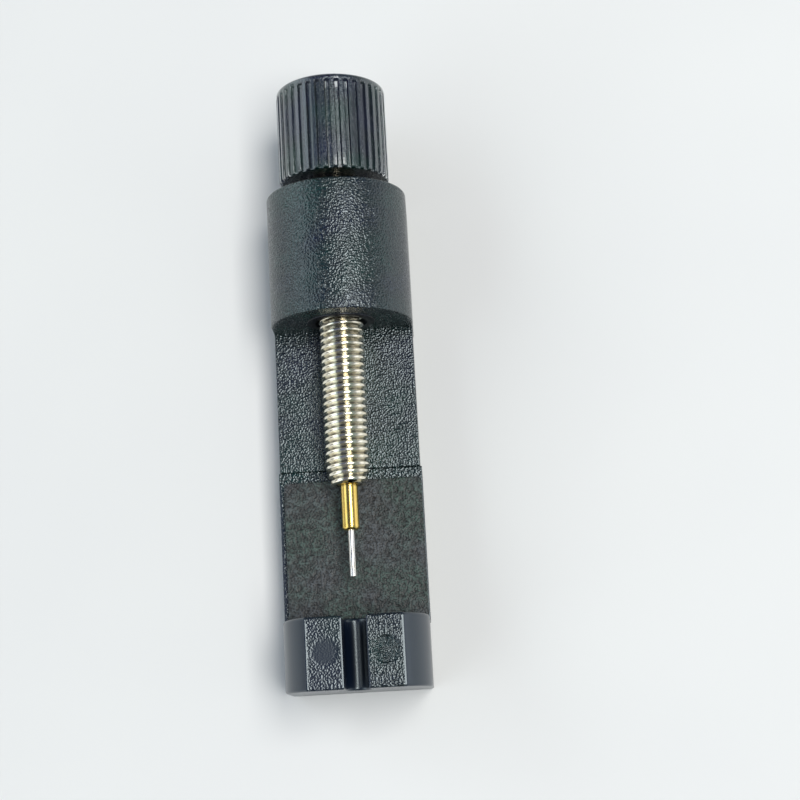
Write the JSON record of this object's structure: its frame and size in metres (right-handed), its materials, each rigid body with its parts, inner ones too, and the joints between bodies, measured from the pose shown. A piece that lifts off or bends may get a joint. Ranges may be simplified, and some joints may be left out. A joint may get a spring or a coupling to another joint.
{
  "type": "watch band pin remover",
  "caption": "Pocket screw press that pushes the pins out of watch bracelet links, with a ribbed knob, an open bed and a slotted anvil.",
  "frame": {"origin": "on the flat base, under the middle of the tool's length and width", "axes": "+Y along the press screw towards the knob, +Z out of the open side of the bed, +X to the right"},
  "size_m": [0.0162, 0.0682, 0.016],
  "materials": {
    "body_plastic": "black, fine spark-eroded texture",
    "bush_steel": "plated steel",
    "pad_rubber": "smooth matte, dark grey",
    "screw_steel": "bright plated steel",
    "knob_plastic": "black, satin",
    "tip_brass": "turned brass",
    "pin_steel": "hardened steel wire"
  },
  "bodies": {
    "frame": {"body": "body_plastic", "threaded_bush": "bush_steel", "bed_pad": "pad_rubber"},
    "tip": {"tip_holder": "tip_brass", "punch_pin": "pin_steel"},
    "screw": {"press_screw": "screw_steel", "knob": "knob_plastic"}
  },
  "joints": [
    {"name": "screw_feed", "type": "slide", "parent": "frame", "child": "tip", "axis": [0, -1, 0], "range_m": [-0.024, 0.001]},
    {"name": "knob_turn", "type": "hinge", "parent": "tip", "child": "screw", "pos_m": [0, 0, 0.0098], "axis": [0, -1, 0], "range_deg": [-10801, 451]}
  ],
  "couplings": [
    {"joint": "knob_turn", "follows": "screw_feed", "rad_per_m": 7854}
  ]
}
